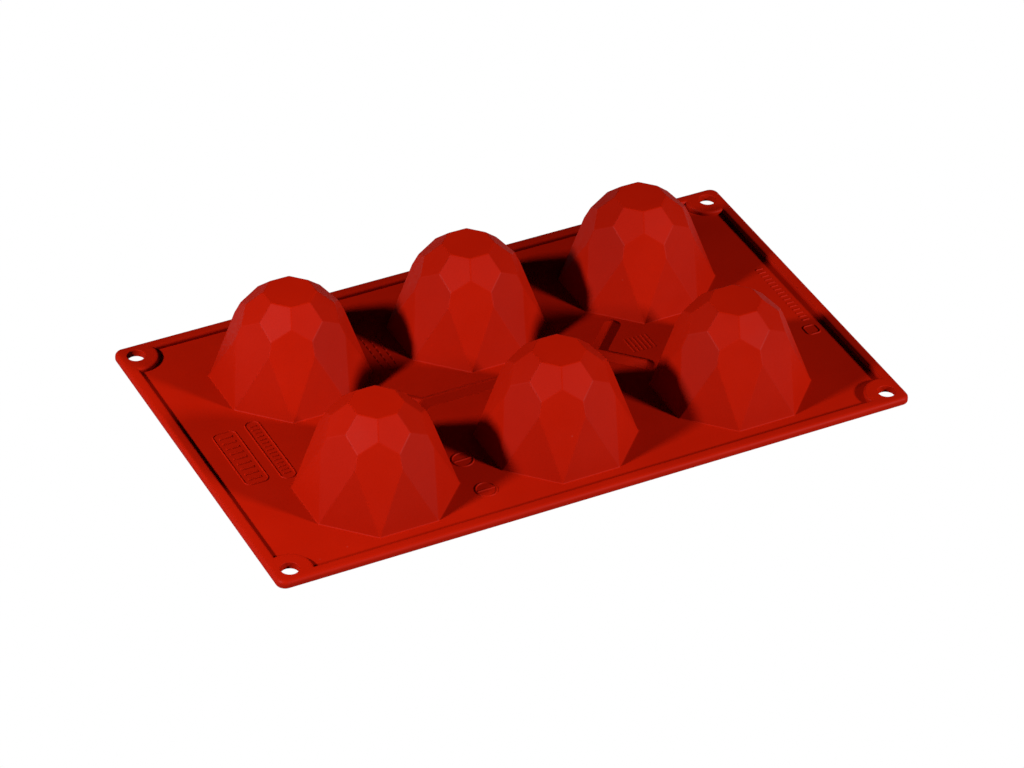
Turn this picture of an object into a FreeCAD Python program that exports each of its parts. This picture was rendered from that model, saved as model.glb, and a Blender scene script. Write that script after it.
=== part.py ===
import FreeCAD, Part
import math
import os
import Sketcher

# Six-cup gem mould: one flexible silicone moulding, lying cups up, so its cavities open downwards.
# X runs along the long side, Y along the short side and Z up through the cups.
# The origin is on the underside, at the middle of the sheet. All sizes are millimetres.

DRIVING_SIZES = {
    # whole mould
    "sheet_length": 300.0,
    "sheet_width": 177.0,
    "mould_height": 45.0,
    "web_thick": 0.9,
    # raised rim round the sheet
    "rim_height": 3.5,
    "rim_top_width": 5.3,
    "rim_foot_width": 5.5,
    "rim_outer_round": 1.4,
    "rim_lower_round": 0.5,
    "sheet_corner_round": 4.2,
    # corner pads, each with a round boss and a hanging hole
    "pad_side": 19.0,
    "boss_foot_radius": 10.2,
    "hole_diameter": 7.8,
    "hole_inset": 8.0,
    # gem cups, two rows of three
    "cup_pitch_long": 85.3,
    "cup_pitch_short": 86.2,
    "cup_flats": 65.4,
    "cup_wall": 1.5,
    "table_flats": 21.4,
    "triangle_lean": 14.7,
    "kite_lean": 23.5,
    "star_lean": 46.9,
    # stiffening rib between the two rows
    "rib_foot_width": 7.6,
    "rib_rise": 2.0,
    "rib_flank_lean": 59.0,
    "rib_fork_reach": 42.5,
    "rib_arm_length": 22.5,
    # raised marks on the web
    "mark_rise": 0.4,
    "mark_line": 0.8,
    "wide_frame_length": 38.4,
    "wide_frame_width": 11.4,
    "wide_frame_round": 3.0,
    "narrow_frame_length": 43.0,
    "narrow_frame_width": 7.4,
    "narrow_frame_round": 3.4,
    "square_side": 7.0,
    "square_round": 2.0,
    "ring_diameter": 10.0,
    "bar_length": 10.4,
    "bar_pitch": 2.05,
    "tick_length": 3.6,
    "tick_pitch": 2.8,
    "dash_length": 2.4,
    "dash_pitch": 3.6,
    "dash_row_pitch": 3.2,
    "wide_bar_length": 6.2,
    "wide_bar_width": 1.4,
    "wide_bar_pitch": 3.8,
    "narrow_bar_length": 3.4,
    "narrow_bar_pitch": 2.5,
}

CORNERS = {
    "front_left": (-1, -1),
    "front_right": (1, -1),
    "back_right": (1, 1),
    "back_left": (-1, 1),
}
CUP_CELLS = {
    "back_left": (-1, 1),
    "back_middle": (0, 1),
    "back_right": (1, 1),
    "front_left": (-1, -1),
    "front_middle": (0, -1),
    "front_right": (1, -1),
}

# Where the middles of the raised marks lie on the web.
WIDE_FRAME_AT = (-129.2, -1.9)
NARROW_FRAME_AT = (-115.5, -2.0)
SQUARE_AT = (137.0, -24.6)
UPPER_RING_AT = (-44.4, -43.0)
LOWER_RING_AT = (-44.4, -65.4)
BARS_AT = (63.2, -1.2)
TICKS_AT = (138.4, 4.1)
DASHES_AT = (-43.5, 42.0)

BAR_COUNT = 6
WIDE_BAR_COUNT = 9
NARROW_BAR_COUNT = 15
TICK_COUNT = 16
DASH_COUNT = 7
DASH_ROWS = 3

OCTAGON_SIDES = 8
HALF_SECTOR = 22.5           # degrees from an octagon's corner to the middle of its side
CUT_MARGIN = 3.0             # how far a cutting solid runs past the faces that it opens
SAME_PLACE = 1e-4            # two coordinates closer than this are the same place
START_SIDE = 2.0             # side of a drawn rectangle before its formulas set its size
UPRIGHT_LIMIT = 0.5          # a face whose normal rises by less than this counts as upright

doc = FreeCAD.newDocument("gem_mould")
nodes = []


# ------------------------------------------------------------ document helpers

def make_sheet():
    """Write each driving size into a cell of its own, with its name as the alias."""
    sheet = doc.addObject("Spreadsheet::Sheet", "Sizes")
    for row, (alias, value) in enumerate(DRIVING_SIZES.items(), start=1):
        sheet.set(f"A{row}", alias)
        sheet.set(f"B{row}", str(value))
        sheet.setAlias(f"B{row}", alias)
    doc.recompute()
    return sheet


sizes = make_sheet()


def bind(obj, **formulas):
    """Tie an object's properties to formulas; a double underscore in a name stands for a dot."""
    for prop, formula in formulas.items():
        obj.setExpression(prop.replace("__", "."), formula)


def keep_as_node(obj, name):
    """Name a finished sub-part and list it for writing."""
    obj.Label = name
    nodes.append(obj)


def make_box(name, length, width, height, x, y, z="0"):
    """A box with all six of its sizes and places bound to formulas; x and y give its middle."""
    box = doc.addObject("Part::Box", name)
    bind(box, Length=length, Width=width, Height=height, Placement__Base__x=f"({x}) - ({length}) / 2",
         Placement__Base__y=f"({y}) - ({width}) / 2", Placement__Base__z=z)
    return box


def combine(kind, name, shapes):
    """A Part::MultiFuse, Part::MultiCommon or Part::Compound of several shapes."""
    feature = doc.addObject(kind, name)
    if kind == "Part::Compound":
        feature.Links = shapes
    else:
        feature.Shapes = shapes
    return feature


def cut_away(name, base, tool):
    feature = doc.addObject("Part::Cut", name)
    feature.Base = base
    feature.Tool = tool
    return feature


# ------------------------------------------------------------ sketch and body helpers

def floor_sketch(body, name, height="0"):
    """An empty sketch parallel to its body's XY plane, at the height that a formula gives."""
    plane = next(f for f in body.Origin.OriginFeatures if f.Role == "XY_Plane")
    sketch = body.newObject("Sketcher::SketchObject", name)
    sketch.AttachmentSupport = [(plane, "")]
    sketch.MapMode = "FlatFace"
    bind(sketch, AttachmentOffset__Base__z=height)
    return sketch


def dimension(sketch, formula, kind, *where):
    """Add a constraint that has a size, and tie the size to a formula."""
    index = sketch.addConstraint(Sketcher.Constraint(kind, *where))
    sketch.setExpression(f"Constraints[{index}]", formula)


def add_loop(sketch, curves):
    """A closed loop of curves, each one's end pinned to the next one's start."""
    first = sketch.GeometryCount
    for curve in curves:
        sketch.addGeometry(curve)
    for i in range(len(curves)):
        after = first + (i + 1) % len(curves)
        sketch.addConstraint(Sketcher.Constraint("Coincident", first + i, 2, after, 1))
    return first


def lines_through(points):
    """Straight lines from point to point and back to the first."""
    return [Part.LineSegment(points[i - 1], points[i]) for i in range(len(points))]


def add_rectangle(sketch, length, width):
    """A rectangle about the sketch's origin, its sides along X and Y bound to two formulas."""
    corners = [FreeCAD.Vector(x, y) * START_SIDE / 2 for x, y in ((1, -1), (1, 1), (-1, 1), (-1, -1))]
    bottom = add_loop(sketch, lines_through(corners))
    right = bottom + 1
    for i in (0, 2):
        sketch.addConstraint(Sketcher.Constraint("Horizontal", bottom + i))
        sketch.addConstraint(Sketcher.Constraint("Vertical", right + i))
    sketch.addConstraint(Sketcher.Constraint("Symmetric", bottom, 1, right, 2, -1, 1))
    dimension(sketch, length, "DistanceX", bottom, 1, bottom, 2, START_SIDE)
    dimension(sketch, width, "DistanceY", right, 1, right, 2, START_SIDE)


def add_octagon(sketch, circumradius, formula, first_corner):
    """A regular octagon inside a construction circle whose radius is bound to a formula."""
    turns = [math.radians(first_corner + i * 360 / OCTAGON_SIDES) for i in range(OCTAGON_SIDES)]
    corners = [FreeCAD.Vector(circumradius * math.cos(t), circumradius * math.sin(t)) for t in turns]
    first = add_loop(sketch, lines_through(corners))
    circle = sketch.addGeometry(Part.Circle(FreeCAD.Vector(), FreeCAD.Vector(0, 0, 1), circumradius), True)
    sketch.addConstraint(Sketcher.Constraint("Coincident", circle, 3, -1, 1))
    dimension(sketch, formula, "Radius", circle, circumradius)
    for i in range(OCTAGON_SIDES):
        sketch.addConstraint(Sketcher.Constraint("PointOnObject", first + i, 1, circle))
        if i > 0:
            sketch.addConstraint(Sketcher.Constraint("Equal", first, first + i))
    dimension(sketch, f"{first_corner} deg", "Angle", -1, 1, first + 1, 1, math.radians(first_corner))


def pad(body, sketch, name, height):
    feature = body.newObject("PartDesign::Pad", name)
    feature.Profile = sketch
    bind(feature, Length=height)
    doc.recompute()
    return feature


def pocket(body, sketch, name, depth):
    """Cut downwards from the sketch."""
    feature = body.newObject("PartDesign::Pocket", name)
    feature.Profile = sketch
    bind(feature, Length=depth)
    doc.recompute()
    return feature


def fillet(body, base, name, edge_names, radius):
    feature = body.newObject("PartDesign::Fillet", name)
    feature.Base = (base, edge_names)
    bind(feature, Radius=radius)
    doc.recompute()
    return feature


def lean_sides(body, base, name, angle, outwards=False):
    """Lean every upright face of a pad about its foot, by a formula's angle."""
    faces = list(enumerate(base.Shape.Faces, start=1))
    upright = [f"Face{i}" for i, face in faces if abs(face.normalAt(0, 0).z) < UPRIGHT_LIMIT]
    floor = [f"Face{i}" for i, face in faces if face.normalAt(0, 0).z < -UPRIGHT_LIMIT]
    feature = body.newObject("PartDesign::Draft", name)
    feature.Base = (base, upright)
    feature.NeutralPlane = (base, floor)
    feature.Reversed = outwards
    bind(feature, Angle=angle)
    doc.recompute()
    return feature


def edges_where(feature, test):
    """The names of a feature's edges whose two ends and middle all pass a test."""
    names = []
    for i, edge in enumerate(feature.Shape.Edges, start=1):
        first, last = edge.ParameterRange
        points = [edge.valueAt(t) for t in (first, (first + last) / 2, last)]
        if all(test(point) for point in points):
            names.append(f"Edge{i}")
    return names


def upright_edges(feature):
    """The names of a feature's edges that run straight up."""
    return [f"Edge{i}" for i, edge in enumerate(feature.Shape.Edges, start=1)
            if abs(edge.Vertexes[0].Z - edge.Vertexes[-1].Z) > SAME_PLACE]


def mirrored(point, x_sign, y_sign):
    return FreeCAD.Vector(point.x * x_sign, point.y * y_sign)


# ------------------------------------------------------------ sheet: blank, recess, holes, cup openings

def make_blank():
    """The whole sheet as a plain slab at rim height, with its corners and outer edges rounded."""
    body = doc.addObject("PartDesign::Body", "blank_body")
    plan = floor_sketch(body, "blank_plan")
    add_rectangle(plan, "Sizes.sheet_length", "Sizes.sheet_width")
    slab = pad(body, plan, "blank_slab", "Sizes.rim_height")
    cornered = fillet(body, slab, "blank_corners", upright_edges(slab), "Sizes.sheet_corner_round")
    upper = edges_where(cornered, lambda p: p.z > sizes.rim_height - SAME_PLACE)
    rounded = fillet(body, cornered, "blank_outer_round", upper, "Sizes.rim_outer_round")
    lower = edges_where(rounded, lambda p: p.z < SAME_PLACE)
    fillet(body, rounded, "blank_lower_round", lower, "Sizes.rim_lower_round")
    return body


def make_recess():
    """The shallow recess inside the rim as a cutting solid that widens upwards round four bosses."""
    body = doc.addObject("PartDesign::Body", "recess_body")
    plan = floor_sketch(body, "recess_plan", "Sizes.web_thick")
    add_rectangle(plan, "Sizes.sheet_length - 2 * Sizes.rim_foot_width",
                  "Sizes.sheet_width - 2 * Sizes.rim_foot_width")
    block = pad(body, plan, "recess_block", f"Sizes.rim_height - Sizes.web_thick + {CUT_MARGIN}")
    slope_run = "(Sizes.rim_foot_width - Sizes.rim_top_width)"
    slope_rise = "(Sizes.rim_height - Sizes.web_thick)"
    lean_sides(body, block, "recess_slope", f"atan({slope_run} / {slope_rise})", outwards=True)
    bosses = []
    for corner, signs in CORNERS.items():
        boss = doc.addObject("Part::Cone", "boss_" + corner)
        bind(boss, Radius1="Sizes.boss_foot_radius", Placement__Base__z="Sizes.web_thick",
             Radius2=f"Sizes.boss_foot_radius - {slope_run} * (1 + {CUT_MARGIN} / {slope_rise})",
             Height=f"{slope_rise} + {CUT_MARGIN}")
        hole_place(boss, *signs)
        bosses.append(boss)
    return cut_away("recess", body, combine("Part::MultiFuse", "bosses", bosses))


def hole_place(obj, x_sign, y_sign):
    """Bind an object's X and Y to the middle of one corner hole."""
    bind(obj, Placement__Base__x=f"{x_sign} * (Sizes.sheet_length / 2 - Sizes.hole_inset)",
         Placement__Base__y=f"{y_sign} * (Sizes.sheet_width / 2 - Sizes.hole_inset)")


def make_holes():
    """Four upright cylinders, one through each corner boss."""
    holes = []
    for corner, signs in CORNERS.items():
        hole = doc.addObject("Part::Cylinder", "hole_" + corner)
        bind(hole, Radius="Sizes.hole_diameter / 2", Height=f"Sizes.rim_height + {2 * CUT_MARGIN}",
             Placement__Base__z=f"-{CUT_MARGIN}")
        hole_place(hole, *signs)
        holes.append(hole)
    return holes


def cup_place(obj, cell):
    """Bind an object's X and Y to the middle of one cup cell."""
    column, row = cell
    bind(obj, Placement__Base__x=f"{column} * Sizes.cup_pitch_long",
         Placement__Base__y=f"{row} * Sizes.cup_pitch_short / 2")


def make_octagon_plug(name):
    """An upright octagonal prism as wide as a cup's foot, with its flats square to the sheet."""
    plug = doc.addObject("Part::Prism", name)
    plug.Polygon = OCTAGON_SIDES
    spin = FreeCAD.Rotation(FreeCAD.Vector(0, 0, 1), HALF_SECTOR)
    plug.Placement = FreeCAD.Placement(FreeCAD.Vector(), spin)
    bind(plug, Circumradius=f"Sizes.cup_flats / 2 / cos({HALF_SECTOR} deg)")
    return plug


def make_cup_openings():
    """Six octagonal prisms that open the web under the cups."""
    openings = []
    for cup, cell in CUP_CELLS.items():
        plug = make_octagon_plug("opening_" + cup)
        bind(plug, Height=f"Sizes.web_thick + {2 * CUT_MARGIN}", Placement__Base__z=f"-{CUT_MARGIN}")
        cup_place(plug, cell)
        openings.append(plug)
    return openings


def make_whole_sheet():
    """Rim, corner pads and web in one, before they are divided into sub-parts."""
    cutters = combine("Part::MultiFuse", "sheet_cutters",
                      [make_recess()] + make_holes() + make_cup_openings())
    return cut_away("whole_sheet", make_blank(), cutters)


def make_rim_region(side, x_sign, y_sign):
    """The box that one straight run of the rim fills, between two corner pads."""
    height = f"Sizes.rim_height + {2 * CUT_MARGIN}"
    if y_sign:
        length, width = "Sizes.sheet_length - 2 * Sizes.pad_side", "Sizes.rim_foot_width"
    else:
        length, width = "Sizes.rim_foot_width", "Sizes.sheet_width - 2 * Sizes.pad_side"
    x = f"{x_sign} * (Sizes.sheet_length - Sizes.rim_foot_width) / 2"
    y = f"{y_sign} * (Sizes.sheet_width - Sizes.rim_foot_width) / 2"
    return make_box("region_rim_" + side, length, width, height, x, y, f"-{CUT_MARGIN}")


def make_pad_region(corner, x_sign, y_sign):
    """The box that one corner pad fills."""
    height = f"Sizes.rim_height + {2 * CUT_MARGIN}"
    x = f"{x_sign} * (Sizes.sheet_length - Sizes.pad_side) / 2"
    y = f"{y_sign} * (Sizes.sheet_width - Sizes.pad_side) / 2"
    return make_box("region_pad_" + corner, "Sizes.pad_side", "Sizes.pad_side", height, x, y,
                    f"-{CUT_MARGIN}")


def make_sheet_parts():
    """Divide the sheet into four rim runs, four corner pads and the flat web inside them."""
    whole = make_whole_sheet()
    sides = {"front": (0, -1), "right": (1, 0), "back": (0, 1), "left": (-1, 0)}
    regions = {"rim_" + side: make_rim_region(side, *signs) for side, signs in sides.items()}
    for corner, signs in CORNERS.items():
        regions["corner_pad_" + corner] = make_pad_region(corner, *signs)
    for name, region in regions.items():
        keep_as_node(combine("Part::MultiCommon", name, [whole, region]), name)
    border = combine("Part::MultiFuse", "border_regions", list(regions.values()))
    keep_as_node(cut_away("web_sheet", whole, border), "web_sheet")


# ------------------------------------------------------------ gem cups

# A cup's facets lean about the octagon at the web: eight triangles stand on its sides, and eight
# kites stand on its corners. Eight star facets lean about the small octagonal table at the top.

def facet_apothem(family, height):
    """Distance from the cup's axis to one family of facet planes, as a formula of the height."""
    above_web = f"({height} - Sizes.web_thick)"
    if family == "triangle":
        return f"Sizes.cup_flats / 2 - {above_web} * tan(Sizes.triangle_lean * 1 deg)"
    if family == "kite":
        corner = f"Sizes.cup_flats / 2 / cos({HALF_SECTOR} deg)"
        return f"{corner} - {above_web} * tan(Sizes.kite_lean * 1 deg)"
    return f"Sizes.table_flats / 2 + (Sizes.mould_height - {height}) * tan(Sizes.star_lean * 1 deg)"


def make_facet_frustum(name, family, low, high, inset):
    """An octagonal frustum bounded by one family of facet planes, moved inwards by an inset."""
    foot = f"({facet_apothem(family, low)} - {inset} / cos(Sizes.{family}_lean * 1 deg))"
    circumradius = f"{foot} / cos({HALF_SECTOR} deg)"
    body = doc.addObject("PartDesign::Body", name)
    plan = floor_sketch(body, name + "_plan", low)
    first_corner = 0 if family == "kite" else HALF_SECTOR
    start_radius = sizes.cup_flats / 2
    add_octagon(plan, start_radius, circumradius, first_corner)
    block = pad(body, plan, name + "_block", f"({high}) - ({low})")
    lean_sides(body, block, name + "_lean", f"Sizes.{family}_lean")
    return body


def make_gem(name, low, high, inset):
    """The gem between two heights: what the three families of facets enclose together."""
    frustums = [make_facet_frustum(f"{name}_{family}", family, low, high, inset)
                for family in ("triangle", "kite", "star")]
    return combine("Part::MultiCommon", name, frustums)


def make_cups():
    """Six cups, each a facetted wall round a cavity that is open below, closed by a flat table."""
    outside = make_gem("gem_outside", "Sizes.web_thick", "Sizes.mould_height", "0")
    hollow = make_gem("gem_hollow", f"-{CUT_MARGIN}", "Sizes.mould_height - Sizes.cup_wall", "Sizes.cup_wall")
    foot = make_octagon_plug("gem_foot")
    bind(foot, Height="Sizes.web_thick")
    solid_cup = combine("Part::MultiFuse", "solid_cup", [outside, foot])
    table_zone = make_box("table_zone", "Sizes.cup_flats", "Sizes.cup_flats",
                          f"Sizes.cup_wall + {CUT_MARGIN}", "0", "0", "Sizes.mould_height - Sizes.cup_wall")
    not_wall = combine("Part::MultiFuse", "cavity_and_table", [hollow, table_zone])
    for cup, cell in CUP_CELLS.items():
        wall = cut_away("cup_wall_" + cup, solid_cup, not_wall)
        table = combine("Part::MultiCommon", "cup_table_" + cup, [solid_cup, table_zone])
        for piece in (wall, table):
            cup_place(piece, cell)
            keep_as_node(piece, piece.Name)


# ------------------------------------------------------------ stiffening rib

def rib_curves():
    """Foot outline of the rib: a long bar that forks at both ends into two arms with round ends."""
    half = sizes.rib_foot_width / 2
    diagonal = math.sqrt(0.5)
    fork = FreeCAD.Vector(sizes.rib_fork_reach, 0)
    along = FreeCAD.Vector(diagonal, diagonal)
    across = FreeCAD.Vector(-diagonal, diagonal) * half
    end = fork + along * sizes.rib_arm_length
    shoulder = FreeCAD.Vector(fork.x - half * math.tan(math.radians(HALF_SECTOR)), half)
    crotch = fork + FreeCAD.Vector(half / diagonal, 0)
    quarter = [crotch, end - across, end + along * half, end + across, shoulder]
    arms = []
    for x_sign, y_sign in ((1, 1), (-1, 1), (-1, -1), (1, -1)):
        points = [mirrored(p, x_sign, y_sign) for p in quarter]
        arms.append(points if x_sign * y_sign > 0 else points[::-1])
    curves = []
    for i, arm in enumerate(arms):
        curves += [Part.LineSegment(arm[0], arm[1]), Part.Arc(*arm[1:4]), Part.LineSegment(arm[3], arm[4])]
        if i % 2 == 0:
            curves.append(Part.LineSegment(arm[4], arms[i + 1][0]))
    return curves


def make_rib():
    """The rib between the two rows of cups, its flanks sloping from a wide foot to a narrow top."""
    body = doc.addObject("PartDesign::Body", "rib_body")
    plan = floor_sketch(body, "rib_plan", "Sizes.web_thick")
    add_loop(plan, rib_curves())
    block = pad(body, plan, "rib_block", "Sizes.rib_rise")
    lean_sides(body, block, "rib_flanks", "Sizes.rib_flank_lean")
    keep_as_node(body, "stiffening_rib")


# ------------------------------------------------------------ raised marks

def lay_on_web(obj, at):
    """Stand a finished mark on the web, with its middle at the given place."""
    x, y = at
    obj.Placement = FreeCAD.Placement(FreeCAD.Vector(x, y, 0), FreeCAD.Rotation())


def corner_edges(feature, x, y):
    """The names of a feature's four upright edges at plus or minus x and y."""
    return edges_where(feature, lambda p: abs(abs(p.x) - x) + abs(abs(p.y) - y) < SAME_PLACE)


def make_frame(name, width, length, corner_round, at):
    """A thin raised outline of a rectangle, its corners rounded inside and out."""
    body = doc.addObject("PartDesign::Body", name + "_body")
    outer = floor_sketch(body, name + "_outer", "Sizes.web_thick")
    add_rectangle(outer, width, length)
    plate = pad(body, outer, name + "_plate", "Sizes.mark_rise")
    inner = floor_sketch(body, name + "_inner", "Sizes.web_thick + Sizes.mark_rise")
    add_rectangle(inner, f"{width} - 2 * Sizes.mark_line", f"{length} - 2 * Sizes.mark_line")
    window = pocket(body, inner, name + "_window", "Sizes.mark_rise")
    x, y = plate.Shape.BoundBox.XMax, plate.Shape.BoundBox.YMax
    window_corners = corner_edges(window, x - sizes.mark_line, y - sizes.mark_line)
    inner_round = fillet(body, window, name + "_inner_round", window_corners,
                         f"{corner_round} - Sizes.mark_line")
    fillet(body, inner_round, name + "_outer_round", corner_edges(inner_round, x, y), corner_round)
    lay_on_web(body, at)
    keep_as_node(body, name)


def make_ring(name, at):
    """A thin raised ring with one bar across it."""
    body = doc.addObject("PartDesign::Body", name + "_body")
    circles = floor_sketch(body, name + "_circles", "Sizes.web_thick")
    up = FreeCAD.Vector(0, 0, 1)
    for formula in ("Sizes.ring_diameter / 2", "Sizes.ring_diameter / 2 - Sizes.mark_line"):
        circle = circles.addGeometry(Part.Circle(FreeCAD.Vector(), up, sizes.ring_diameter / 2))
        circles.addConstraint(Sketcher.Constraint("Coincident", circle, 3, -1, 1))
        dimension(circles, formula, "Radius", circle, sizes.ring_diameter / 2)
    pad(body, circles, name + "_hoop", "Sizes.mark_rise")
    bar = floor_sketch(body, name + "_bar_plan", "Sizes.web_thick")
    add_rectangle(bar, "Sizes.ring_diameter - Sizes.mark_line", "Sizes.mark_line")
    pad(body, bar, name + "_bar", "Sizes.mark_rise")
    lay_on_web(body, at)
    keep_as_node(body, name)


def make_strip_grid(name, columns, rows, column_pitch, row_pitch, length, width, at):
    """Short raised strips in rows and columns about a middle, kept as one node of separate solids."""
    strips = []
    for column in range(columns):
        for row in range(rows):
            x = f"({column} - {(columns - 1) / 2}) * {column_pitch} + {at[0]}"
            y = f"({row} - {(rows - 1) / 2}) * {row_pitch} + {at[1]}"
            strip = f"{name}_{column + 1}_{row + 1}"
            strips.append(make_box(strip, length, width, "Sizes.mark_rise", x, y, "Sizes.web_thick"))
    keep_as_node(combine("Part::Compound", name, strips), name)


def make_marks():
    make_frame("label_frame_wide", "Sizes.wide_frame_width", "Sizes.wide_frame_length",
               "Sizes.wide_frame_round", WIDE_FRAME_AT)
    make_frame("label_frame_narrow", "Sizes.narrow_frame_width", "Sizes.narrow_frame_length",
               "Sizes.narrow_frame_round", NARROW_FRAME_AT)
    make_frame("label_frame_square", "Sizes.square_side", "Sizes.square_side",
               "Sizes.square_round", SQUARE_AT)
    make_strip_grid("label_bars_wide", 1, WIDE_BAR_COUNT, "0", "Sizes.wide_bar_pitch",
                    "Sizes.wide_bar_length", "Sizes.wide_bar_width", WIDE_FRAME_AT)
    make_strip_grid("label_bars_narrow", 1, NARROW_BAR_COUNT, "0", "Sizes.narrow_bar_pitch",
                    "Sizes.narrow_bar_length", "Sizes.mark_line", NARROW_FRAME_AT)
    make_ring("ring_mark_upper", UPPER_RING_AT)
    make_ring("ring_mark_lower", LOWER_RING_AT)
    make_strip_grid("bar_marks", BAR_COUNT, 1, "Sizes.bar_pitch", "0",
                    "Sizes.mark_line", "Sizes.bar_length", BARS_AT)
    make_strip_grid("tick_marks", 1, TICK_COUNT, "0", "Sizes.tick_pitch",
                    "Sizes.tick_length", "Sizes.mark_line", TICKS_AT)
    make_strip_grid("dash_marks", DASH_ROWS, DASH_COUNT, "Sizes.dash_row_pitch", "Sizes.dash_pitch",
                    "Sizes.mark_line", "Sizes.dash_length", DASHES_AT)


# ------------------------------------------------------------ build, check and write

def check_document():
    """Stop if any object failed to build or any node has no valid shape."""
    for obj in doc.Objects:
        if "Invalid" in obj.State or "Error" in obj.State:
            raise RuntimeError(f"{obj.Name} failed: {obj.State}")
    for node in nodes:
        if node.Shape.isNull() or not node.Shape.isValid():
            raise RuntimeError(f"{node.Label} has no valid shape")


def write_nodes():
    os.makedirs("parts", exist_ok=True)
    for node in nodes:
        node.Shape.exportStep(os.path.join("parts", node.Label + ".step"))
        print(f"{node.Label}: {node.Shape.Volume:.0f} mm3, {len(node.Shape.Solids)} solid(s)")


make_sheet_parts()
make_cups()
make_rib()
make_marks()
doc.recompute()
check_document()
write_nodes()
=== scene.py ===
import math

import bmesh
import bpy
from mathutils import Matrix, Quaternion, Vector


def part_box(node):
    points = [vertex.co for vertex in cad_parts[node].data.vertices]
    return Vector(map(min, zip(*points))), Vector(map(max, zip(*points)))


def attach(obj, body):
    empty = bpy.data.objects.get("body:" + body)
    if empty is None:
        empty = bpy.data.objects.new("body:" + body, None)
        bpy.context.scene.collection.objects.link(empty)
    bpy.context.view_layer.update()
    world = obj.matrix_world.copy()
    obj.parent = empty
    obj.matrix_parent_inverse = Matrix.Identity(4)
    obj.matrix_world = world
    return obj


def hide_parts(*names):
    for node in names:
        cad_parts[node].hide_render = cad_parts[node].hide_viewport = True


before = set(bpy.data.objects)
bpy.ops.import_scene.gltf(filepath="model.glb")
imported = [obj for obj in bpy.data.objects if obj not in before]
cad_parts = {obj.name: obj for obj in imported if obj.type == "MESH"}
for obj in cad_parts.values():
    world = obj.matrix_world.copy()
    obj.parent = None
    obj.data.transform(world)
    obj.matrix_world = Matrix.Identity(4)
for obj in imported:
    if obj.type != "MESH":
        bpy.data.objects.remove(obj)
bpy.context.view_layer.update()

# Six-cup gem mould in matt red silicone, lying cups up. Metres throughout, in the frame of the CAD model.

MM = 0.001
SECTORS = 8
HALF_SECTOR = math.radians(22.5)

# Sizes shared with the CAD model that no node's box gives.
CUP_WALL = 1.5 * MM
CUP_FLATS = 65.4 * MM              # across a cup's foot, where it meets the web
TABLE_FLATS = 21.4 * MM
TRIANGLE_LEAN = math.radians(14.7)
KITE_LEAN = math.radians(23.5)
STAR_LEAN = math.radians(46.9)
SHEET_CORNER_ROUND = 4.2 * MM
RIM_LOWER_ROUND = 0.5 * MM
HOLE_INSET = 8.0 * MM
HOLE_RADIUS = 3.9 * MM
RIB_HALF_WIDTH = 3.8 * MM
RIB_FORK_REACH = 42.5 * MM
RIB_ARM_LENGTH = 22.5 * MM
RIB_FLANK_LEAN = math.radians(59.0)
MARK_LINE = 0.8 * MM

# Sizes of the visible surface, whose edges are softer than the CAD model's.
RIM_TOP_INSET = 5.6 * MM           # outer edge of the sheet to the top of the rim's inner wall
RIM_FOOT_INSET = 5.0 * MM          # and to the wall's foot, slightly undercut
RIM_REACH = 6.8 * MM               # how far in from the edge a rim piece runs before the web takes over
RIM_OUTER_ROUND = 1.8 * MM
RIM_CREST_ROUND = 1.1 * MM
BOSS_TOP_RADIUS = 10.3 * MM
HOLE_ROUND = 0.35 * MM
FACET_ROUND = 0.45 * MM
RIB_CREST_ROUND = 0.4 * MM
FOOT_ROUND = 0.3 * MM
SKIRT = 1.0 * MM                   # flat strip of web that belongs to each cup
MARK_FLANK = 0.45                  # run of a mark's flank, as a share of its height
MARK_ROUND = 0.4                   # rounding of a mark's crest, as a share of its height
FLANK_LIMIT = 0.9                  # how far a strip's flanks may run, as a share of half its width

# Pigment and dust of the silicone, linear RGB.
RED_DARK = (0.218, 0.0037, 0.0002)
RED_LIGHT = (0.236, 0.0043, 0.0003)
RED_MOTTLE = (0.212, 0.0040, 0.0006)
DUST = (0.25, 0.030, 0.022)
DUST_CELLS = 150.0                 # cells per metre, of which one in ten holds a speck of dust

# How finely round stretches are drawn, and how close counts as equal.
ROUND_STEPS = 4
BEVEL_STEPS = 3
SHEET_CORNER_STEPS = 12
BOSS_STEPS = 28
HOLE_STEPS = 64
RING_STEPS = 48
RIB_END_STEPS = 20
FRAME_CORNER_STEPS = 6
ROUND_BEVEL = 0.5                  # a bevel with this profile is an arc of a circle
LARGE_FACES_LEAD = 100             # large faces decide the shading of the small ones beside them
SHARP_ANGLE = math.radians(35)     # edges that turn more than this stay crisp
FLAT_ANGLE = 0.02                  # radians; two faces that turn less than this lie in one plane
SAME_PLACE = 1e-7
SAME_HEIGHT = 1e-5

WEB_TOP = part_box("web_sheet")[1].z
RIM_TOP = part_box("rim_back")[1].z
CUP_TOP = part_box("cup_table_back_left")[1].z
HALF_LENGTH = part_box("rim_right")[1].x
HALF_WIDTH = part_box("rim_back")[1].y
PAD_START_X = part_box("rim_back")[1].x
PAD_START_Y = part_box("rim_right")[1].y

CUPS = ["back_left", "back_middle", "back_right", "front_left", "front_middle", "front_right"]
CORNERS = {"front_left": (-1, -1), "front_right": (1, -1), "back_right": (1, 1), "back_left": (-1, 1)}


# ------------------------------------------------------------ outlines and profiles

def on_circle(centre, radius, angle):
    return Vector((centre[0] + radius * math.cos(angle), centre[1] + radius * math.sin(angle)))


def arc_points(centre, radius, start, end, steps):
    return [on_circle(centre, radius, start + (end - start) * i / steps) for i in range(steps + 1)]


def octagon(centre, radius, turn):
    """Eight points on a circle; turn is the angle of the first one."""
    return [on_circle(centre, radius, 2 * math.pi * i / SECTORS + turn) for i in range(SECTORS)]


def skirt_outline(centre):
    """Border between a cup's skirt and the web round it."""
    return octagon(centre, (CUP_FLATS / 2 + SKIRT) / math.cos(HALF_SECTOR), HALF_SECTOR)


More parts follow.
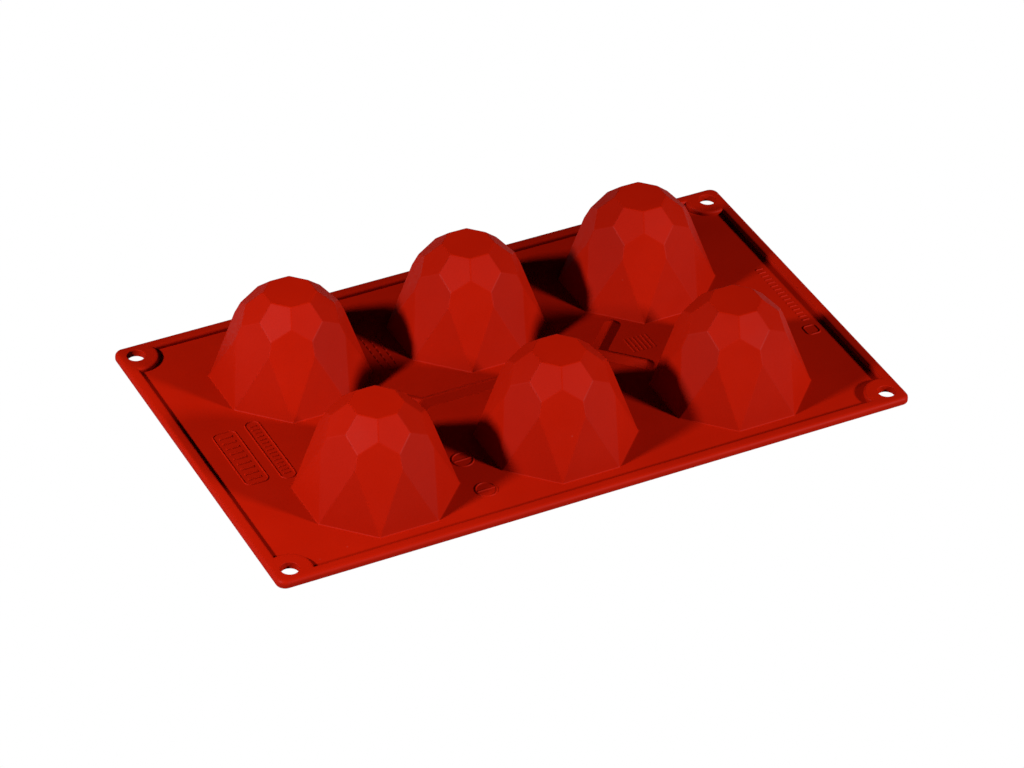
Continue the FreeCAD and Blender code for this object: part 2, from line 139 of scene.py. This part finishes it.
def softened(corners):
    """A polyline through (point, radius) pairs, each inner corner replaced by an arc of its radius."""
    line = [Vector(corners[0][0])]
    for i in range(1, len(corners) - 1):
        corner, radius = Vector(corners[i][0]), corners[i][1]
        towards_last = (Vector(corners[i - 1][0]) - corner).normalized()
        towards_next = (Vector(corners[i + 1][0]) - corner).normalized()
        half_angle = towards_last.angle(towards_next) / 2
        if radius == 0:
            line.append(corner)
            continue
        centre = corner + (towards_last + towards_next).normalized() * radius / math.sin(half_angle)
        tangent = radius / math.tan(half_angle)
        first = corner + towards_last * tangent - centre
        last = corner + towards_next * tangent - centre
        for step in range(ROUND_STEPS + 1):
            line.append(centre + first.slerp(last, step / ROUND_STEPS).normalized() * radius)
    line.append(Vector(corners[-1][0]))
    return line


def mirrored_round(quarter):
    """A closed anticlockwise outline from its back right quarter, points on a mirror line kept once."""
    outline = []
    for x_sign, y_sign in ((1, 1), (-1, 1), (-1, -1), (1, -1)):
        points = [Vector((point.x * x_sign, point.y * y_sign)) for point in quarter]
        points = points if x_sign * y_sign > 0 else points[::-1]
        outline += [point for point in points if not outline or (point - outline[-1]).length > SAME_PLACE]
    return outline[:-1] if (outline[-1] - outline[0]).length < SAME_PLACE else outline


def moved_inwards(loop, distance):
    """A closed anticlockwise outline with every side moved inwards by the same distance."""
    moved = []
    for i, point in enumerate(loop):
        before = (point - loop[i - 1]).normalized()
        after = (loop[(i + 1) % len(loop)] - point).normalized()
        inwards = Vector((-before.y - after.y, before.x + after.x)).normalized()
        moved.append(point + inwards * distance / inwards.dot(Vector((-before.y, before.x))))
    return moved


# ------------------------------------------------------------ mesh helpers

def ring_of(bm, points, z):
    return [bm.verts.new((point.x, point.y, z)) for point in points]


def join_rings(bm, lower, upper, closed=True):
    """A strip of quads between two rows of vertices of the same length."""
    count = len(lower) if closed else len(lower) - 1
    for i in range(count):
        after = (i + 1) % len(lower)
        bm.faces.new((lower[i], lower[after], upper[after], upper[i]))


def sweep(bm, loop, profile):
    """Carry a profile of (distance inwards, height) round a closed outline; returns its rings."""
    rings = [ring_of(bm, moved_inwards(loop, inwards), z) for inwards, z in profile]
    for lower, upper in zip(rings, rings[1:]):
        join_rings(bm, lower, upper)
    return rings


def fill_flat(bm, loops, up):
    """Triangles between closed loops of coplanar vertices, the first one outermost, facing up or down."""
    edges = []
    for loop in loops:
        for i, vert in enumerate(loop):
            pair = (loop[i - 1], vert)
            edges.append(bm.edges.get(pair) or bm.edges.new(pair))
    made = bmesh.ops.triangle_fill(bm, use_beauty=True, edges=edges, normal=(0, 0, 1))
    faces = [item for item in made["geom"] if isinstance(item, bmesh.types.BMFace)]
    for face in faces:
        face.normal_update()
        if (face.normal.z > 0) != up:
            face.normal_flip()


def boundary_edges(bm, test):
    return [edge for edge in bm.edges if edge.is_boundary and all(test(vert.co) for vert in edge.verts)]


def make_piece(bm, name, nodes):
    """Turn a finished bmesh into a smooth-shaded piece that stands for one or more CAD nodes."""
    bmesh.ops.remove_doubles(bm, verts=bm.verts, dist=SAME_PLACE)
    mesh = bpy.data.meshes.new(name)
    bm.to_mesh(mesh)
    bm.free()
    mesh.shade_smooth()
    mesh.set_sharp_from_angle(angle=SHARP_ANGLE)
    piece = bpy.data.objects.new(name, mesh)
    bpy.context.scene.collection.objects.link(piece)
    modifier = piece.modifiers.new("flat faces stay flat", "WEIGHTED_NORMAL")
    modifier.keep_sharp = True
    modifier.weight = LARGE_FACES_LEAD
    mesh.materials.append(SILICONE)
    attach(piece, "root")
    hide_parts(*nodes)


# ------------------------------------------------------------ silicone

def add_noise(tree, coordinates, scale, detail):
    noise = tree.nodes.new("ShaderNodeTexNoise")
    noise.inputs["Scale"].default_value = scale
    noise.inputs["Detail"].default_value = detail
    tree.links.new(coordinates, noise.inputs["Vector"])
    return noise.outputs["Fac"]


def add_range(tree, value, source, target):
    """Stretch a value from a source range, given as (low, high), to a target range, and clamp it there."""
    node = tree.nodes.new("ShaderNodeMapRange")
    node.inputs["From Min"].default_value = source[0]
    node.inputs["From Max"].default_value = source[1]
    node.inputs["To Min"].default_value = target[0]
    node.inputs["To Max"].default_value = target[1]
    tree.links.new(value, node.inputs["Value"])
    return node.outputs["Result"]


def add_mix(tree, factor, low, high):
    """Mix two colours, each given as a linear RGB tuple or as a socket, by a factor socket."""
    mix = tree.nodes.new("ShaderNodeMix")
    mix.data_type = "RGBA"
    tree.links.new(factor, mix.inputs["Factor"])
    for socket, colour in ((mix.inputs["A"], low), (mix.inputs["B"], high)):
        if isinstance(colour, tuple):
            socket.default_value = (*colour, 1.0)
        else:
            tree.links.new(colour, socket)
    return mix.outputs["Result"]


def add_bump(tree, height, strength, distance, normal=None):
    bump = tree.nodes.new("ShaderNodeBump")
    bump.inputs["Strength"].default_value = strength
    bump.inputs["Distance"].default_value = distance
    tree.links.new(height, bump.inputs["Height"])
    if normal is not None:
        tree.links.new(normal, bump.inputs["Normal"])
    return bump.outputs["Normal"]


def make_silicone():
    """Matt red silicone: cloudy pigment, sparse pale specks of dust, an eroded tool finish."""
    material = bpy.data.materials.new("red_silicone")
    material.use_nodes = True
    tree = material.node_tree
    shader = tree.nodes["Principled BSDF"]
    coordinates = tree.nodes.new("ShaderNodeTexCoord").outputs["Object"]

    cloudy = add_noise(tree, coordinates, scale=22.0, detail=3.0)
    clouds = add_range(tree, cloudy, source=(0.35, 0.65), target=(0.0, 1.0))
    fine = add_noise(tree, coordinates, scale=260.0, detail=4.0)
    mottle = add_range(tree, fine, source=(0.3, 0.7), target=(0.0, 0.35))
    pigment = add_mix(tree, clouds, RED_DARK, RED_LIGHT)
    pigment = add_mix(tree, mottle, pigment, RED_MOTTLE)

    cells = tree.nodes.new("ShaderNodeTexVoronoi")
    cells.inputs["Scale"].default_value = DUST_CELLS
    tree.links.new(coordinates, cells.inputs["Vector"])
    near_centre = add_range(tree, cells.outputs["Distance"], source=(0.03, 0.05), target=(1.0, 0.0))
    one_channel = tree.nodes.new("ShaderNodeSeparateColor")
    tree.links.new(cells.outputs["Color"], one_channel.inputs["Color"])
    chosen = add_range(tree, one_channel.outputs["Red"], source=(0.90, 0.91), target=(0.0, 0.5))
    speck = tree.nodes.new("ShaderNodeMath")
    speck.operation = "MULTIPLY"
    tree.links.new(near_centre, speck.inputs[0])
    tree.links.new(chosen, speck.inputs[1])
    colour = add_mix(tree, speck.outputs["Value"], pigment, DUST)
    tree.links.new(colour, shader.inputs["Base Color"])

    blotches = add_noise(tree, coordinates, scale=90.0, detail=3.0)
    sheen = add_range(tree, blotches, source=(0.3, 0.7), target=(0.47, 0.56))
    tree.links.new(sheen, shader.inputs["Roughness"])
    swell = add_noise(tree, coordinates, scale=34.0, detail=2.0)
    waves = add_bump(tree, swell, strength=0.25, distance=1.2 * MM)
    grain = add_noise(tree, coordinates, scale=2600.0, detail=2.0)
    finish = add_bump(tree, grain, strength=0.22, distance=0.06 * MM, normal=waves)
    tree.links.new(finish, shader.inputs["Normal"])

    shader.inputs["IOR"].default_value = 1.41
    shader.inputs["Specular IOR Level"].default_value = 0.04
    return material


SILICONE = make_silicone()


# ------------------------------------------------------------ gem cups

class Facets:
    """One family of eight facets: distance from the cup's axis, shrinking with height."""

    def __init__(self, reach_at_base, lean, base, inset):
        self.slope = math.tan(lean)
        self.reach = reach_at_base + base * self.slope - inset / math.cos(lean)

    def at(self, z):
        return self.reach - self.slope * z


def height_where_equal(first, second, share):
    """Height at which the first family's distance is the given share of the second's."""
    return (first.reach - share * second.reach) / (first.slope - share * second.slope)


def gem_corners(centre, inset):
    """The rings of corners where one cup's facets meet, keyed by a short name, as lists of eight."""
    share = math.cos(HALF_SECTOR)
    triangle = Facets(CUP_FLATS / 2, TRIANGLE_LEAN, WEB_TOP, inset)
    kite = Facets(CUP_FLATS / 2 / share, KITE_LEAN, WEB_TOP, inset)
    star = Facets(TABLE_FLATS / 2, STAR_LEAN, CUP_TOP, inset)
    top = CUP_TOP - inset
    kite_top = height_where_equal(star, kite, share)
    star_point = height_where_equal(star, kite, 1 / share)
    triangle_top = height_where_equal(triangle, kite, 1 / share)
    kite_foot = height_where_equal(triangle, kite, share)

    def ring(turn, radius, z):
        return [Vector((*point, z)) for point in octagon(centre, radius, turn)]

    return {
        "mouth": ring(HALF_SECTOR, triangle.at(0) / share, 0),
        "kite_foot": ring(HALF_SECTOR, kite.at(kite_foot), kite_foot),
        "triangle_top": ring(0, triangle.at(triangle_top), triangle_top),
        "star_point": ring(0, star.at(star_point), star_point),
        "kite_top": ring(HALF_SECTOR, kite.at(kite_top), kite_top),
        "table": ring(HALF_SECTOR, star.at(top) / share, top),
    }


def add_facets(bm, corners, inside):
    """Triangles, kites and stars between the rings of corners; returns the rings as vertices."""
    verts = {name: [bm.verts.new(corner) for corner in ring] for name, ring in corners.items()
             if inside or name != "mouth"}
    foot, tops = verts["kite_foot"], verts["triangle_top"]
    points, crowns, table = verts["star_point"], verts["kite_top"], verts["table"]
    for i in range(SECTORS):
        after = (i + 1) % SECTORS
        if inside:
            mouth = verts["mouth"]
            outline = [mouth[i - 1], mouth[i], foot[i], tops[i], foot[i - 1]]
        else:
            outline = [foot[i - 1], foot[i], tops[i]]
        faces = [outline,
                 [foot[i], tops[after], points[after], crowns[i], points[i], tops[i]],
                 [points[i], crowns[i], table[i], table[i - 1], crowns[i - 1]]]
        for face in faces:
            bm.faces.new(face[::-1] if inside else face)
    return verts


def soften_edges(bm, width):
    """Round every edge between two faces that are not in one plane."""
    bm.normal_update()
    sharp = [edge for edge in bm.edges if len(edge.link_faces) == 2 and edge.calc_face_angle() > FLAT_ANGLE]
    bmesh.ops.bevel(bm, geom=sharp, offset=width, segments=BEVEL_STEPS, profile=ROUND_BEVEL,
                    affect="EDGES", clamp_overlap=True)


def make_outer_gem(centre):
    """A cup's outer skin with its table and a flat skirt round its foot, every edge softened."""
    bm = bmesh.new()
    verts = add_facets(bm, gem_corners(centre, 0), inside=False)
    bm.faces.new(verts["table"])
    join_rings(bm, ring_of(bm, skirt_outline(centre), WEB_TOP), verts["kite_foot"])
    soften_edges(bm, FACET_ROUND)
    return bm


def make_cup(cup):
    """A cup as two pieces: the facetted wall with its cavity, and the table that closes it."""
    low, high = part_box("cup_wall_" + cup)
    centre = (low + high) / 2
    split = CUP_TOP - CUP_WALL
    whole = make_outer_gem(centre)
    everything = whole.verts[:] + whole.edges[:] + whole.faces[:]
    bmesh.ops.bisect_plane(whole, geom=everything, dist=SAME_PLACE, plane_co=(0, 0, split),
                           plane_no=(0, 0, 1))

    table = whole.copy()
    bmesh.ops.delete(table, geom=[v for v in table.verts if v.co.z < split - SAME_PLACE], context="VERTS")
    bmesh.ops.holes_fill(table, edges=boundary_edges(table, lambda co: True))
    make_piece(table, "gem_table_" + cup, ["cup_table_" + cup])

    wall = whole
    bmesh.ops.delete(wall, geom=[v for v in wall.verts if v.co.z > split + SAME_PLACE], context="VERTS")
    inner = bmesh.new()
    add_facets(inner, gem_corners(centre, CUP_WALL), inside=True)
    soften_edges(inner, FACET_ROUND)
    inner_mesh = bpy.data.meshes.new("cavity")
    inner.to_mesh(inner_mesh)
    inner.free()
    wall.from_mesh(inner_mesh)
    bpy.data.meshes.remove(inner_mesh)
    bmesh.ops.bridge_loops(wall, edges=boundary_edges(wall, lambda co: abs(co.z - split) < SAME_HEIGHT))
    skirt = boundary_edges(wall, lambda co: abs(co.z - WEB_TOP) < SAME_HEIGHT)
    lowered = bmesh.ops.extrude_edge_only(wall, edges=skirt)["geom"]
    for item in lowered:
        if isinstance(item, bmesh.types.BMVert):
            item.co.z = 0
    bmesh.ops.bridge_loops(wall, edges=boundary_edges(wall, lambda co: abs(co.z) < SAME_HEIGHT))
    bmesh.ops.recalc_face_normals(wall, faces=wall.faces)
    make_piece(wall, "gem_wall_" + cup, ["cup_wall_" + cup])


# ------------------------------------------------------------ sheet: web, rims and corner pads

def make_web():
    """The flat web: a thin plate between the rims, open under the six cups."""
    x, y = HALF_LENGTH - RIM_REACH, HALF_WIDTH - RIM_REACH
    notch = [Vector((x, PAD_START_Y)), Vector((PAD_START_X, PAD_START_Y)), Vector((PAD_START_X, y))]
    outline = mirrored_round(notch)
    loops = [outline]
    for cup in CUPS:
        low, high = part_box("cup_wall_" + cup)
        loops.append(skirt_outline((low + high) / 2))
    bm = bmesh.new()
    tops = [ring_of(bm, loop, WEB_TOP) for loop in loops]
    bottoms = [ring_of(bm, loop, 0) for loop in loops]
    fill_flat(bm, tops, up=True)
    fill_flat(bm, bottoms, up=False)
    for top, bottom in zip(tops, bottoms):
        join_rings(bm, bottom, top)
    bmesh.ops.recalc_face_normals(bm, faces=bm.faces)
    make_piece(bm, "flat_web", ["web_sheet"])


def outer_profile():
    """The sheet's outer edge as (distance from the edge, height), from the underside to the rim's top."""
    return softened([((RIM_OUTER_ROUND, 0), 0), ((0, 0), RIM_LOWER_ROUND),
                     ((0, RIM_TOP), RIM_OUTER_ROUND), ((RIM_OUTER_ROUND, RIM_TOP), 0)])


def inner_profile():
    """The rim's inner wall as (distance from the sheet's edge, height), from the top to the web."""
    return softened([((RIM_TOP_INSET - 2 * RIM_CREST_ROUND, RIM_TOP), 0),
                     ((RIM_TOP_INSET, RIM_TOP), RIM_CREST_ROUND),
                     ((RIM_FOOT_INSET, WEB_TOP), 0), ((RIM_REACH, WEB_TOP), 0)])


def make_rim(side, outwards):
    """One straight run of the rim, its profile drawn out between two corner pads."""
    section = outer_profile() + inner_profile() + [Vector((RIM_REACH, 0))]
    edge = HALF_WIDTH if outwards.y else HALF_LENGTH
    reach = PAD_START_X if outwards.y else PAD_START_Y
    along = Vector((-outwards.y, outwards.x, 0))
    bm = bmesh.new()
    ends = []
    for end in (-reach, reach):
        ends.append([bm.verts.new(outwards * (edge - point.x) + along * end + Vector((0, 0, point.y)))
                     for point in section])
    join_rings(bm, ends[0], ends[1])
    bm.faces.new(ends[0])
    bm.faces.new(ends[1])
    bmesh.ops.recalc_face_normals(bm, faces=bm.faces)
    make_piece(bm, "rim_run_" + side, ["rim_" + side])


def pad_outer_path(inset):
    """Back right corner of the sheet at some distance from its edge, from the back rim to the right."""
    centre = (HALF_LENGTH - SHEET_CORNER_ROUND, HALF_WIDTH - SHEET_CORNER_ROUND)
    arc = arc_points(centre, SHEET_CORNER_ROUND - inset, math.pi / 2, 0, SHEET_CORNER_STEPS)
    return [Vector((PAD_START_X, HALF_WIDTH - inset))] + arc + [Vector((HALF_LENGTH - inset, PAD_START_Y))]


def pad_inner_path(inset):
    """Edge of the recess at some distance from the sheet's edge: along the rim, round the boss, on."""
    centre = (HALF_LENGTH - HOLE_INSET, HALF_WIDTH - HOLE_INSET)
    radius = BOSS_TOP_RADIUS + inset - RIM_TOP_INSET
    turn = math.asin((HOLE_INSET - inset) / radius)
    arc = arc_points(centre, radius, math.pi - turn, 1.5 * math.pi + turn, BOSS_STEPS)
    return [Vector((PAD_START_X, HALF_WIDTH - inset))] + arc + [Vector((HALF_LENGTH - inset, PAD_START_Y))]


def make_corner_pad(corner, x_sign, y_sign):
    """A corner pad with its boss and hanging hole, drawn at the back right and mirrored into place."""
    bm = bmesh.new()
    outer = [ring_of(bm, pad_outer_path(point.x), point.y) for point in outer_profile()]
    wall_profile = inner_profile()[:-1]            # ends at the wall's foot, short of the web
    inner = [ring_of(bm, pad_inner_path(point.x), point.y) for point in wall_profile]
    for rows in (outer, inner):
        for lower, upper in zip(rows, rows[1:]):
            join_rings(bm, lower, upper, closed=False)

    centre = (HALF_LENGTH - HOLE_INSET, HALF_WIDTH - HOLE_INSET)
    hole_profile = softened([((HOLE_RADIUS + HOLE_ROUND, RIM_TOP), 0), ((HOLE_RADIUS, RIM_TOP), HOLE_ROUND),
                             ((HOLE_RADIUS, 0), FOOT_ROUND), ((HOLE_RADIUS + HOLE_ROUND, 0), 0)])
    hole = [ring_of(bm, arc_points(centre, point.x, 0, 2 * math.pi, HOLE_STEPS)[:-1], point.y)
            for point in hole_profile]
    for upper, lower in zip(hole, hole[1:]):
        join_rings(bm, lower, upper)

    web_corner = bm.verts.new((PAD_START_X, PAD_START_Y, WEB_TOP))
    under_corner = bm.verts.new((PAD_START_X, PAD_START_Y, 0))
    fill_flat(bm, [outer[-1] + inner[0][::-1], hole[0]], up=True)
    fill_flat(bm, [inner[-1] + [web_corner]], up=True)
    fill_flat(bm, [outer[0] + [under_corner], hole[-1]], up=False)
    for vert in bm.verts:
        vert.co.x *= x_sign
        vert.co.y *= y_sign
    bmesh.ops.remove_doubles(bm, verts=bm.verts, dist=SAME_PLACE)
    bmesh.ops.recalc_face_normals(bm, faces=bm.faces)
    make_piece(bm, "hanging_corner_" + corner, ["corner_pad_" + corner])


# ------------------------------------------------------------ rib and raised marks

def rib_outline():
    """Foot of the double-Y rib, anticlockwise: two arms with round ends at each end of a long bar."""
    half = RIB_HALF_WIDTH
    fork = Vector((RIB_FORK_REACH, 0))
    end = on_circle(fork, RIB_ARM_LENGTH, math.pi / 4)
    shoulder = Vector((fork.x - half * math.tan(HALF_SECTOR), half))
    crotch = fork + Vector((half * math.sqrt(2), 0))
    quarter = [crotch] + arc_points(end, half, -math.pi / 4, 3 * math.pi / 4, RIB_END_STEPS) + [shoulder]
    return mirrored_round(quarter)


def make_rib():
    """The rib: flanks at a slant, soft crest edges and a small fillet where it meets the web."""
    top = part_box("stiffening_rib")[1].z
    run = (top - WEB_TOP) * math.tan(RIB_FLANK_LEAN)
    profile = softened([((-2 * FOOT_ROUND, WEB_TOP), 0), ((0, WEB_TOP), FOOT_ROUND),
                        ((run, top), RIB_CREST_ROUND), ((run + RIB_CREST_ROUND, top), 0)])
    bm = bmesh.new()
    rings = sweep(bm, rib_outline(), profile[1:])  # the first point only gives the fillet its direction
    fill_flat(bm, [rings[-1]], up=True)
    bmesh.ops.recalc_face_normals(bm, faces=bm.faces)
    make_piece(bm, "double_y_rib", ["stiffening_rib"])


def mark_profile(width, height):
    """A low raised line as (distance from its outer edge, height) with a soft crest."""
    lean, crest_round = MARK_FLANK * height, MARK_ROUND * height
    return softened([((0, WEB_TOP), 0), ((lean, WEB_TOP + height), crest_round),
                     ((width - lean, WEB_TOP + height), crest_round), ((width, WEB_TOP), 0)])


def rounded_rectangle(low, high, radius):
    """Anticlockwise outline of a rectangle whose four corners are arcs."""
    left, right = low.x + radius, high.x - radius
    front, back = low.y + radius, high.y - radius
    outline = []
    for turn, centre in enumerate(((right, back), (left, back), (left, front), (right, front))):
        outline += arc_points(centre, radius, turn * math.pi / 2, (turn + 1) * math.pi / 2,
                              FRAME_CORNER_STEPS)
    return outline


def make_frame(node, radius):
    """A raised line round a rectangle with rounded corners."""
    low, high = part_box(node)
    bm = bmesh.new()
    sweep(bm, rounded_rectangle(low, high, radius), mark_profile(MARK_LINE, high.z - WEB_TOP))
    bmesh.ops.recalc_face_normals(bm, faces=bm.faces)
    make_piece(bm, node + "_line", [node])


def add_strip(bm, low, high):
    """A short raised strip with a soft crest, between two corners of its box."""
    outline = [Vector((high.x, high.y)), Vector((low.x, high.y)),
               Vector((low.x, low.y)), Vector((high.x, low.y))]
    height = high.z - WEB_TOP
    profile = softened([((0, WEB_TOP), 0), ((MARK_FLANK * height, high.z), MARK_ROUND * height),
                        ((height, high.z), 0)])
    deepest = FLANK_LIMIT * min(high.x - low.x, high.y - low.y) / 2
    rings = sweep(bm, outline, [(min(point.x, deepest), point.y) for point in profile])
    bm.faces.new(rings[-1])


def make_ring(node):
    """A raised ring with one bar across it."""
    low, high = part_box(node)
    centre = (low + high) / 2
    bm = bmesh.new()
    circle = arc_points(centre, (high.x - low.x) / 2, 0, 2 * math.pi, RING_STEPS)[:-1]
    sweep(bm, circle, mark_profile(MARK_LINE, high.z - WEB_TOP))
    half = Vector(((high.x - low.x) / 2 - MARK_LINE, MARK_LINE / 2, 0))
    add_strip(bm, centre - half, Vector((centre.x + half.x, centre.y + half.y, high.z)))
    bmesh.ops.recalc_face_normals(bm, faces=bm.faces)
    make_piece(bm, node + "_line", [node])


def make_strips(node, columns, rows, x_size, y_size, wear=0.0):
    """A grid of short strips that fills a node's box; wear is the share of their height worn away."""
    low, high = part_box(node)
    top = high.z - wear * (high.z - WEB_TOP)
    bm = bmesh.new()
    for column in range(columns):
        for row in range(rows):
            x = low.x + (high.x - low.x - x_size) * (column / (columns - 1) if columns > 1 else 0)
            y = low.y + (high.y - low.y - y_size) * (row / (rows - 1) if rows > 1 else 0)
            add_strip(bm, Vector((x, y, WEB_TOP)), Vector((x + x_size, y + y_size, top)))
    bmesh.ops.recalc_face_normals(bm, faces=bm.faces)
    make_piece(bm, node + "_relief", [node])


# ------------------------------------------------------------ building the mould

for cup_name in CUPS:
    make_cup(cup_name)
make_web()
make_rim("front", Vector((0, -1, 0)))
make_rim("right", Vector((1, 0, 0)))
make_rim("back", Vector((0, 1, 0)))
make_rim("left", Vector((-1, 0, 0)))
for corner_name, corner_signs in CORNERS.items():
    make_corner_pad(corner_name, *corner_signs)
make_rib()
make_frame("label_frame_wide", radius=3.0 * MM)
make_frame("label_frame_narrow", radius=3.4 * MM)
make_frame("label_frame_square", radius=2.0 * MM)
make_strips("label_bars_wide", columns=1, rows=9, x_size=6.2 * MM, y_size=1.4 * MM)
make_strips("label_bars_narrow", columns=1, rows=15, x_size=3.4 * MM, y_size=MARK_LINE)
make_ring("ring_mark_upper")
make_ring("ring_mark_lower")
make_strips("bar_marks", columns=6, rows=1, x_size=MARK_LINE, y_size=10.4 * MM, wear=0.5)
make_strips("tick_marks", columns=1, rows=16, x_size=3.6 * MM, y_size=MARK_LINE)
make_strips("dash_marks", columns=3, rows=7, x_size=MARK_LINE, y_size=2.4 * MM, wear=0.4)


# ------------------------------------------------------------ floor, light and camera

FLOOR_HALF_SIDE = 6.0
FLOOR_GREY = 0.25
FLOOR_GAP = 0.2 * MM               # the floor lies this far under the mould


def white_to_camera(tree, usual, white, output):
    """Show the camera plain white, and give every other ray the usual shader."""
    seen = tree.nodes.new("ShaderNodeLightPath")
    mix = tree.nodes.new("ShaderNodeMixShader")
    tree.links.new(seen.outputs["Is Camera Ray"], mix.inputs[0])
    tree.links.new(usual.outputs[0], mix.inputs[1])
    tree.links.new(white.outputs[0], mix.inputs[2])
    tree.links.new(mix.outputs[0], output.inputs["Surface"])


def make_floor():
    """A floor that the camera sees as plain white, and that gives the mould only a dim bounce of light."""
    bm = bmesh.new()
    bmesh.ops.create_grid(bm, x_segments=1, y_segments=1, size=FLOOR_HALF_SIDE)
    mesh = bpy.data.meshes.new("floor")
    bm.to_mesh(mesh)
    bm.free()
    material = bpy.data.materials.new("pale_floor")
    material.use_nodes = True
    tree = material.node_tree
    grey = tree.nodes["Principled BSDF"]
    grey.inputs["Base Color"].default_value = (FLOOR_GREY, FLOOR_GREY, FLOOR_GREY, 1)
    grey.inputs["Roughness"].default_value = 1.0
    white = tree.nodes.new("ShaderNodeEmission")
    white_to_camera(tree, grey, white, tree.nodes["Material Output"])
    mesh.materials.append(material)
    floor = bpy.data.objects.new("floor", mesh)
    floor.location.z = -FLOOR_GAP
    bpy.context.scene.collection.objects.link(floor)


def add_light(name, bearing, elevation, distance, size, watts):
    """A round lamp aimed at the mould's middle; bearing is anticlockwise from +X, in degrees."""
    lamp = bpy.data.lights.new(name, "AREA")
    lamp.shape = "DISK"
    lamp.size = size
    lamp.energy = watts
    flat = math.cos(math.radians(elevation))
    direction = Vector((math.cos(math.radians(bearing)) * flat, math.sin(math.radians(bearing)) * flat,
                        math.sin(math.radians(elevation))))
    light = bpy.data.objects.new(name, lamp)
    light.location = direction * distance
    light.rotation_euler = direction.to_track_quat("Z", "Y").to_euler()
    bpy.context.scene.collection.objects.link(light)


def make_world(strength):
    """A dim even fill light from all round; the camera itself sees plain white beyond the floor."""
    world = bpy.data.worlds.new("studio")
    bpy.context.scene.world = world
    world.use_nodes = True
    tree = world.node_tree
    fill = tree.nodes["Background"]
    fill.inputs["Strength"].default_value = strength
    white = tree.nodes.new("ShaderNodeBackground")
    white.inputs["Color"].default_value = (1, 1, 1, 1)
    white_to_camera(tree, fill, white, tree.nodes["World Output"])


def make_camera(azimuth, elevation, roll, target, distance, lens):
    """A camera that looks at a target from a direction given in degrees, turned about its own axis."""
    azimuth, elevation = math.radians(azimuth), math.radians(elevation)
    back = Vector((math.sin(azimuth) * math.cos(elevation), -math.cos(azimuth) * math.cos(elevation),
                   math.sin(elevation)))
    data = bpy.data.cameras.new("camera")
    data.lens = lens
    data.sensor_width = 36.0
    camera = bpy.data.objects.new("camera", data)
    camera.location = Vector(target) + back * distance
    camera.rotation_mode = "QUATERNION"
    own_axis = Vector((0, 0, 1))
    camera.rotation_quaternion = back.to_track_quat("Z", "Y") @ Quaternion(own_axis, math.radians(roll))
    bpy.context.scene.collection.objects.link(camera)
    bpy.context.scene.camera = camera


make_floor()
make_world(strength=0.014)
add_light("left_key", bearing=185.7, elevation=33.9, distance=0.88, size=0.09, watts=13.0)
add_light("right_key", bearing=-49.5, elevation=25.4, distance=1.9, size=0.22, watts=58.0)
make_camera(azimuth=-27.885, elevation=36.972, roll=1.725, target=(-0.81 * MM, -3.13 * MM, 0),
            distance=1.8974, lens=153.61)
bpy.context.scene.view_settings.view_transform = "Standard"
